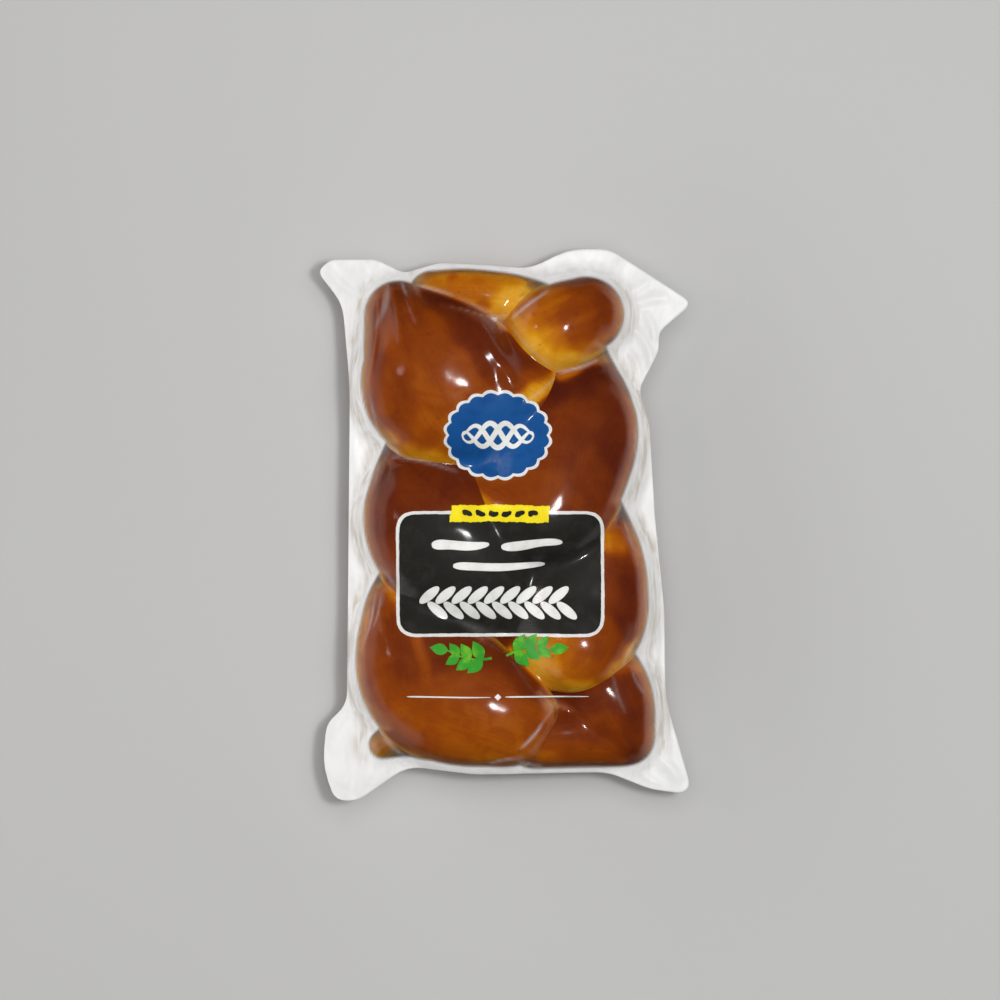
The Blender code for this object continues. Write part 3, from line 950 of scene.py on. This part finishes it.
class CHEESE_OT_pouch(bpy.types.Operator):
    """Make the clear film, drawn tight over the braid and sealed around it"""
    bl_idname = "cheese.pouch"
    bl_label = "Pouch film"

    def execute(self, context):
        look = context.scene.pouch_look
        pouch = pouch_for(look)
        patch = patch_over_outline(look.cells_across, look.cells_along)
        rows, columns = patch.shape[:2]
        x, y = patch.reshape(-1, 2).T
        front = np.column_stack([x, y, pouch.front.at(x, y)])
        back = np.column_stack([x, y, pouch.back.at(x, y)])
        number = np.arange(rows * columns).reshape(rows, columns)
        cells = np.stack([number[:-1, :-1], number[:-1, 1:], number[1:, 1:], number[1:, :-1]], -1)
        cells = cells.reshape(-1, 4)
        edge = np.concatenate([number[0, :-1], number[:-1, -1], number[-1, :0:-1], number[:0:-1, 0]])
        following = np.roll(edge, -1)
        below = rows * columns
        rim = np.stack([edge, edge + below, following + below, following], -1)
        faces = np.concatenate([cells, cells[:, ::-1] + below, rim])
        film = mesh_from("pouch_film", np.vstack([front, back]), faces.tolist())
        outside = np.tile(pouch.outside.at(x, y), 2)
        # The slack holds the loose film's haze together with the painted sheen on the sides and the
        # painted glints.
        store(film.data, "slack", np.tile(pouch.haze_at(x, y), 2))
        crimp = 0.15 + 0.85 * np.tile(pouch.sideways.at(x, y), 2)
        crimp *= np.exp(-((outside - 1.4) / 1.8) ** 2) * smooth_step(outside, -1.4, -0.4)
        store(film.data, "crimp", crimp)
        dress(film, film_material(look))
        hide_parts(PACK)
        return {"FINISHED"}


# ---------------------------------------------------------------- print

def ellipse(x, y, half_x, half_y, turn=0.0, count=48):
    angles = np.arange(count) * 2 * math.pi / count
    along = half_x * np.cos(angles)
    across = half_y * np.sin(angles)
    turn = math.radians(turn)
    return np.column_stack([
        x + along * math.cos(turn) - across * math.sin(turn),
        y + along * math.sin(turn) + across * math.cos(turn),
    ])


def seal(x, y, half_x, half_y):
    """An oval with a scalloped edge, like a paper seal's."""
    angles = np.arange(12 * SCALLOPS) * 2 * math.pi / (12 * SCALLOPS)
    swell = 1 - SCALLOP_DEPTH * (1 - np.abs(np.sin(SCALLOPS * angles / 2)))
    return np.column_stack([x + half_x * swell * np.cos(angles), y + half_y * swell * np.sin(angles)])


def brushed(corners, step, fray, seed):
    """A closed shape whose sides wander and fray like the edge of a brush mark."""
    corners = np.array(corners, float)
    lines = []
    for start, end in zip(corners, np.roll(corners, -1, axis=0)):
        count = max(2, round(np.linalg.norm(end - start) / step))
        lines.append(start + (end - start) * (np.arange(count) / count)[:, None])
    points = np.vstack(lines)
    ahead = np.roll(points, -1, axis=0) - np.roll(points, 1, axis=0)
    outward = np.column_stack([ahead[:, 1], -ahead[:, 0]]) / np.linalg.norm(ahead, axis=1)[:, None]
    way = np.arange(len(points)) * step
    wander = np.sin(way * 0.31 + seed) + 0.6 * np.sin(way * 0.83 + 2.3 * seed)
    teeth = 0.5 * np.sin(way * 2.1 + 3.1 * seed) + 0.45 * np.sin(way * 4.7 + 1.7 * seed)
    return points + outward * ((wander + teeth) * fray)[:, None]


def stroke(points, widths):
    """The outline of a pen or brush stroke along a line of places, with its width at each."""
    points = np.array(points, float)
    ways = np.gradient(points, axis=0)
    ways /= np.linalg.norm(ways, axis=1)[:, None]
    half = np.asarray(widths)[:, None] / 2
    aside = np.column_stack([-ways[:, 1], ways[:, 0]]) * half
    return np.vstack([points - aside, (points + aside)[::-1]])


def wave_stroke(x, y, length, height, waves, phase, width):
    t = np.linspace(0, 1, 60)
    swing = height * np.sin(2 * math.pi * (waves * t + phase)) * np.sin(math.pi * t) ** 0.4
    widths = width * np.clip(np.sin(math.pi * t), 0.12, 1) ** 0.5
    return stroke(np.column_stack([x + length * (t - 0.5), y + swing]), widths)


def bar(x, y, length, width, slant=0.0, seed=1.0):
    """A brush mark, round and full where the brush was set down and thinner where it left."""
    t = (1 - np.cos(np.linspace(0.04, 0.96, 32) * math.pi)) / 2
    rise = slant * (t - 0.5) + 0.16 * width * np.sin(5 * t + seed)
    widths = width * (1 - np.abs(2 * t - 1) ** 6) ** 0.5 * (1.1 - 0.4 * t)
    widths *= 1 + 0.05 * np.sin(11 * t + seed)
    return stroke(np.column_stack([x + length * (t - 0.5), y + rise]), widths)


def leaflet(x, y, length, turn):
    """A small pointed leaf that starts at x, y."""
    t = np.linspace(0, 1, 14)
    half = 0.30 * length * np.sin(math.pi * t ** 0.8) + 0.02
    turn = math.radians(turn)
    middle = np.column_stack([x + length * t * math.cos(turn), y + length * t * math.sin(turn)])
    return stroke(middle, 2 * half)


def sprig(x, y, length, turn, pairs):
    """A stem with pairs of small leaves and one at its tip."""
    angle = math.radians(turn)
    t = np.linspace(0, 1, 16)
    bend = 0.10 * length * np.sin(math.pi * t)
    stem = np.column_stack([
        x + length * t * math.cos(angle) - bend * math.sin(angle),
        y + length * t * math.sin(angle) + bend * math.cos(angle),
    ])
    shapes = [stroke(stem, np.linspace(0.65, 0.35, len(t)))]
    for pair in range(pairs):
        at = stem[round((pair + 0.6) / (pairs + 0.4) * (len(t) - 1))]
        size = length * (0.46 - 0.05 * pair)
        for side in (-1, 1):
            shapes.append(leaflet(*at, size, turn + side * (52 - 5 * pair)))
    shapes.append(leaflet(*stem[-1], 0.42 * length, turn))
    return shapes


def filled(outline, spacing):
    """A flat shape as evenly spaced triangles: its places and faces."""
    low = outline.min(axis=0)
    high = outline.max(axis=0)
    grid = np.meshgrid(np.arange(low[0], high[0], spacing), np.arange(low[1], high[1], spacing))
    inner = np.column_stack([axis.ravel() for axis in grid])
    start = outline[None]
    run = np.roll(outline, -1, axis=0)[None] - start
    off = inner[:, None] - start
    along = np.clip((off * run).sum(2) / np.maximum((run ** 2).sum(2), 1e-9), 0, 1)
    clear = np.linalg.norm(off - run * along[:, :, None], axis=2).min(axis=1) > 0.45 * spacing
    crosses = (off[:, :, 1] >= 0) != (off[:, :, 1] - run[:, :, 1] >= 0)
    with np.errstate(divide="ignore", invalid="ignore"):
        right_of = off[:, :, 0] < run[:, :, 0] * off[:, :, 1] / run[:, :, 1]
    inside = (crosses & right_of).sum(axis=1) % 2 == 1
    points = [Vector(place) for place in np.vstack([outline, inner[clear & inside]])]
    ring = [(i, (i + 1) % len(outline)) for i in range(len(outline))]
    places, _, faces, *_ = geometry.delaunay_2d_cdt(points, ring, [], 1, 1e-5)
    return np.array([tuple(place) for place in places]), faces


def ink_layer(name, shapes, depth, pouch, material, spacing=0.6):
    """Flat shapes laid along the inside of the film, that far below its surface."""
    points = []
    faces = []
    for outline in shapes:
        places, triangles = filled(outline, spacing)
        start = sum(len(group) for group in points)
        height = pouch.front.at(places[:, 0], places[:, 1]) - depth
        points.append(np.column_stack([places, height]))
        faces += [[corner + start for corner in triangle] for triangle in triangles]
    source = mesh_from(name, np.vstack(points), faces)
    wall = source.modifiers.new("ink", "SOLIDIFY")
    wall.thickness = INK_THICKNESS * MM
    wall.offset = -1
    layer = made_plain(source, name)
    layer.data.shade_smooth()
    layer.data.set_sharp_from_angle(angle=1.0)
    return dress(layer, material)


class PrintLook(bpy.types.PropertyGroup):
    blue: colour_setting("Blue", "The seal's field", (0.009, 0.105, 0.34))
    charcoal: colour_setting("Charcoal", "The panel's field", (0.019, 0.018, 0.015))
    white: colour_setting("White", "Rims and line work", (0.90, 0.90, 0.87))
    yellow: colour_setting("Yellow", "The strip over the panel's edge", (0.95, 0.82, 0.02))
    green: colour_setting("Green", "The sprigs", (0.055, 0.40, 0.040))
    lime: colour_setting("Lime", "Lighter patches of the sprigs", (0.20, 0.58, 0.04))


# The printed fields: x and y of their middles or corners.
SEAL = (-1.8, 23.3)
SEAL_HALF = (13.4, 11.0)
PANEL_LOW = (-27.4, -28.2)
PANEL_HIGH = (25.0, 2.8)
PANEL_CORNER = 4.5
STRIP = [(-14.2, 0.9), (11.3, 0.7), (11.7, 5.1), (-13.8, 5.3)]
RULE_HEIGHT = -44.6         # y of the thin rule with a diamond in its middle
RIM_WIDTH = 0.85            # of the white rims
SCALLOPS = 20
SCALLOP_DEPTH = 0.06
INK_THICKNESS = 0.03


def panel_outline(margin):
    """The panel's rounded outline, grown by a margin all round."""
    left, low = np.array(PANEL_LOW) - margin
    right, high = np.array(PANEL_HIGH) + margin
    corners = [(left, low), (right, low), (right, high), (left, high)]
    rounded = rounded_outline([(*corner, PANEL_CORNER + margin) for corner in corners], 0.8)
    return brushed(rounded, 0.5, 0.04, 5.0)


class CHEESE_OT_print(bpy.types.Operator):
    """Print the film from inside: a blue seal, a charcoal panel, a yellow strip and two sprigs"""
    bl_idname = "cheese.print"
    bl_label = "Print"

    def execute(self, context):
        look = context.scene.print_look
        pouch = pouch_for(context.scene.pouch_look)
        rim_half = np.array(SEAL_HALF) + RIM_WIDTH
        grounds = [seal(*SEAL, *rim_half), panel_outline(RIM_WIDTH)]
        marks = [wave_stroke(*SEAL, 18.5, 3.2, 1.5, phase / 3, 1.4) for phase in range(3)]
        marks += [bar(-11.5, -5.2, 15, 2.6, 0.8, 1), bar(7, -5.0, 16, 2.4, 0.7, 4)]
        marks += [bar(-1.5, -10.6, 24, 2.2, 0.6, 2)]
        for k in range(9):
            x = -19.6 + 4.2 * k
            marks.append(ellipse(x, -18.2, 3.3, 1.25, 40, 20))
            marks.append(ellipse(x + 2.1, -22.2, 3.3, 1.25, -40, 20))
        marks += [bar(-14.5, RULE_HEIGHT, 22, 0.42), bar(11, RULE_HEIGHT, 22, 0.42)]
        marks.append(ellipse(-1.8, RULE_HEIGHT, 0.9, 0.9, 0, 4))
        dashes = [bar(-9.7 + 3.4 * k, 3.05 - 0.02 * k, 2.5, 1.5, 0.0, k) for k in range(6)]
        greens = sprig(0.4, -34.0, 11.5, 8, 3) + sprig(-3.4, -34.6, 11.5, 170, 3)
        layers = [
            ("print_ground", grounds, 0.23, look.white, (0.82, 0.82, 0.80)),
            ("print_blue", [seal(*SEAL, *SEAL_HALF)], 0.17, look.blue, (0.007, 0.085, 0.29)),
            ("print_charcoal", [panel_outline(0)], 0.17, look.charcoal, (0.033, 0.031, 0.026)),
            ("print_yellow", [brushed(STRIP, 0.35, 0.13, 1.0)], 0.11, look.yellow, (0.90, 0.74, 0.015)),
            ("print_green", greens, 0.11, look.green, tuple(look.lime)),
            ("print_white", marks, 0.11, look.white, (0.80, 0.80, 0.77)),
            ("print_dashes", dashes, 0.06, look.charcoal, (0.033, 0.031, 0.026)),
        ]
        for name, shapes, depth, colour, second in layers:
            ink_layer(name, shapes, depth, pouch, ink_material(name, colour, second))
        return {"FINISHED"}


# ---------------------------------------------------------------- trapped air

def bubble_tree():
    """Geometry nodes: small flattened bubbles scattered over a surface."""
    sockets = dict.fromkeys(("Density", "Smallest", "Largest"), "NodeSocketFloat")
    sockets.update({"Seed": "NodeSocketInt", "Skin": "NodeSocketMaterial"})
    group, nodes, given = modifier_tree("bubbles", sockets)
    inputs = {"Mesh": given["Geometry"], "Density": given["Density"], "Seed": given["Seed"]}
    spots = nodes.add("GeometryNodeDistributePointsOnFaces", inputs)
    ball = nodes.add("GeometryNodeMeshUVSphere", {"Segments": 8, "Rings": 5})
    ball.inputs["Radius"].default_value = 1.0
    size = nodes.add("FunctionNodeRandomValue", data_type="FLOAT")
    nodes.put(size.inputs[2], given["Smallest"])
    nodes.put(size.inputs[3], given["Largest"])
    nodes.put(size.inputs["Seed"], given["Seed"])
    reach = nodes.add("ShaderNodeCombineXYZ", {"X": size.outputs[1], "Y": size.outputs[1]})
    nodes.put(reach.inputs["Z"], nodes.maths("MULTIPLY", size.outputs[1], 0.35))
    inputs = {
        "Points": spots.outputs["Points"],
        "Instance": ball.outputs["Mesh"],
        "Rotation": spots.outputs["Rotation"],
        "Scale": reach.outputs["Vector"],
    }
    end_with_balls(nodes, inputs, given["Skin"])
    return group


# Where air stayed in the film's margins: lines of x, y and width.
AIR_LINES = [
    [(-38.8, 30, 1.2), (-39.0, 16, 1.8), (-39.6, 0, 1.8), (-39.4, -14, 1.8), (-40.2, -30, 1.0)],
    [(-33.6, 23, 1.6), (-31.5, 19.5, 1.0)],
    [(37.4, 8, 1.0), (37.4, 2, 2.0), (39.4, -4, 1.4)],
    [(36.5, -33.5, 2.0), (39.8, -38, 1.6)],
    [(33.2, 42, 2.0), (34.2, 37, 1.2)],
]


def bubble_material():
    material, tree, surface = new_material("trapped air")
    tone = tree.noise(tree.object_place, 900, 2, 0.5)
    inputs = {
        "Base Color": tree.mixed(tone, (0.92, 0.92, 0.90, 1), (0.78, 0.77, 0.74, 1)),
        "Roughness": tree.ranged(tone, 0.3, 0.7, 0.15, 0.3),
    }
    return painted(material, tree, surface, inputs)


class AirLook(bpy.types.PropertyGroup):
    density: level_setting("Density", "Bubbles on each square metre of margin", 1.1e6)
    smallest: length_setting("Smallest", "Radius of the smallest bubble", 0.00007)
    largest: length_setting("Largest", "Radius of the largest bubble", 0.00026)
    seed: bpy.props.IntProperty(name="Seed", description="Another scatter of bubbles", default=7)


class CHEESE_OT_air(bpy.types.Operator):
    """Scatter the small bubbles that stayed under the film's margins"""
    bl_idname = "cheese.air"
    bl_label = "Trapped air"

    def execute(self, context):
        look = context.scene.air_look
        pouch = pouch_for(context.scene.pouch_look)
        points = []
        faces = []
        for line in AIR_LINES:
            line = np.array(line, float)
            t = np.linspace(0, len(line) - 1, 12 * len(line))
            x, y, width = (np.interp(t, np.arange(len(line)), line[:, axis]) for axis in range(3))
            start = len(points)
            for side in (0.5, -0.5):
                edge_x = x + side * width
                height = pouch.front.at(edge_x, y) - 0.12
                points += list(zip(edge_x, y, height))
            count = len(t)
            faces += [(start + i, start + i + 1, start + count + i + 1, start + count + i)
                      for i in range(count - 1)]
        source = mesh_from("air_margins", points, faces)
        material = bubble_material()
        scatter = source.modifiers.new("scatter", "NODES")
        scatter.node_group = bubble_tree()
        values = {"Density": look.density, "Smallest": look.smallest, "Largest": look.largest}
        set_inputs(scatter, {**values, "Seed": look.seed, "Skin": material})
        bubbles = made_plain(source, "trapped_air")
        bubbles.data.shade_smooth()
        dress(bubbles, material)
        return {"FINISHED"}


# ---------------------------------------------------------------- stage

class StageLook(bpy.types.PropertyGroup):
    floor_colour: colour_setting("Floor", "Colour of the floor", (0.60, 0.60, 0.59))
    camera_height: length_setting("Camera height", "Camera above the rim", 1.3)
    view_width: length_setting("View width", "What the camera takes in", 0.2624)
    key_power: bpy.props.FloatProperty(
        name="Key", description="Power of the small lamp above", default=2.9, unit="POWER")
    soft_power: bpy.props.FloatProperty(
        name="Soft light", description="Power of the large light overhead", default=11.5, unit="POWER")
    left_wall: level_setting("Left wall", "Brightness of the left wall", 1.6)
    right_wall: level_setting("Right wall", "Brightness low on the right", 1.2)
    room_light: level_setting("Room light", "Brightness of the rest of the room", 0.06)


def area_light(name, place, aim, size, power, colour=(1, 1, 1)):
    """A rectangular soft light at a place in metres, turned towards its aim."""
    light = bpy.data.lights.new(name, "AREA")
    light.shape = "RECTANGLE"
    light.size, light.size_y = size
    light.energy = power
    light.color = colour
    made = bpy.data.objects.new(name, light)
    made.location = place
    made.rotation_euler = (Vector(aim) - Vector(place)).to_track_quat("-Z", "Y").to_euler()
    bpy.context.scene.collection.objects.link(made)
    return made


def studio_world(look):
    """A dark room with a bright wall on the left and a low bright strip on the right."""
    world = bpy.data.worlds.new("studio")
    world.use_nodes = True
    tree = Tree(world.node_tree)
    background = world.node_tree.nodes["Background"]
    direction = tree.add("ShaderNodeTexCoord").outputs["Generated"]
    way = tree.add("ShaderNodeSeparateXYZ", {"Vector": direction})
    across = way.outputs["X"]
    up = way.outputs["Z"]
    low = tree.ranged(up, 0.42, 0.56, 1.0, 0.0)
    left = tree.maths("MULTIPLY", tree.ranged(across, -0.62, -0.50, 1.0, 0.0), low)
    lowest = tree.ranged(up, 0.15, 0.32, 1.0, 0.0)
    right = tree.maths("MULTIPLY", tree.ranged(across, 0.50, 0.62), lowest)
    light = tree.maths("MULTIPLY", left, look.left_wall)
    light = tree.maths("ADD", light, tree.maths("MULTIPLY", right, look.right_wall))
    tree.put(background.inputs["Color"], (1, 1, 1, 1))
    tree.put(background.inputs["Strength"], tree.maths("ADD", light, look.room_light))
    return world


def floor_material(colour):
    material, tree, surface = new_material("pale floor")
    tone = tree.noise(tree.object_place, 3, 2, 0.5)
    darker = tuple(0.97 * channel for channel in colour)
    shade = tree.mixed(tree.ranged(tone, 0.3, 0.7), (*colour, 1), (*darker, 1))
    return painted(material, tree, surface, {"Base Color": shade, "Roughness": 0.7})


class CHEESE_OT_stage(bpy.types.Operator):
    """Set the floor, the soft lights and the camera that looks straight down"""
    bl_idname = "cheese.stage"
    bl_label = "Stage"

    def execute(self, context):
        look = context.scene.stage_look
        shape = bmesh.new()
        bmesh.ops.create_grid(shape, x_segments=8, y_segments=8, size=2.0)
        mesh = bpy.data.meshes.new("floor")
        shape.to_mesh(mesh)
        shape.free()
        floor = bpy.data.objects.new("floor", mesh)
        context.scene.collection.objects.link(floor)
        mesh.materials.append(floor_material(look.floor_colour))
        context.scene.world = studio_world(look)
        middle = (0, 0, MID_HEIGHT * MM)
        area_light("key", (0.16, 0.04, 0.97), middle, (0.09, 0.09), look.key_power)
        overhead = area_light("soft light", (0.10, 0.15, 1.6), middle, (1.0, 1.0), look.soft_power)
        overhead.visible_glossy = False
        area_light("left lamp", (-0.62, 0.16, 0.78), middle, (0.10, 0.13), 0.34, (1.0, 0.80, 0.78))
        camera = bpy.data.cameras.new("camera")
        camera.lens = camera.sensor_width * look.camera_height / look.view_width
        camera.clip_end = 10
        viewer = bpy.data.objects.new("camera", camera)
        viewer.location = (-0.00125, 0.0065, look.camera_height + MID_HEIGHT * MM)
        context.scene.collection.objects.link(viewer)
        context.scene.camera = viewer
        context.scene.view_settings.view_transform = "Standard"
        return {"FINISHED"}


class CHEESE_PT_panel(bpy.types.Panel):
    bl_idname = "CHEESE_PT_panel"
    bl_label = "Cheese pack"
    bl_space_type = "VIEW_3D"
    bl_region_type = "UI"
    bl_category = "Cheese"

    def draw(self, context):
        for step in STEPS:
            self.layout.operator(step.bl_idname)


GROUPS = {
    "braid_look": BraidLook,
    "pouch_look": PouchLook,
    "print_look": PrintLook,
    "air_look": AirLook,
    "stage_look": StageLook,
}
STEPS = [CHEESE_OT_strands, CHEESE_OT_pouch, CHEESE_OT_print, CHEESE_OT_air, CHEESE_OT_stage]


def register():
    for kind in (*GROUPS.values(), *STEPS, CHEESE_PT_panel):
        bpy.utils.register_class(kind)
    for name, kind in GROUPS.items():
        setattr(bpy.types.Scene, name, bpy.props.PointerProperty(type=kind))


def unregister():
    for name in GROUPS:
        delattr(bpy.types.Scene, name)
    for kind in (CHEESE_PT_panel, *reversed(STEPS), *GROUPS.values()):
        bpy.utils.unregister_class(kind)


def main():
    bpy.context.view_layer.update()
    register()
    bpy.ops.cheese.strands()
    bpy.ops.cheese.pouch()
    bpy.ops.cheese.print()
    bpy.ops.cheese.air()
    bpy.ops.cheese.stage()


if __name__ == "__main__":
    main()
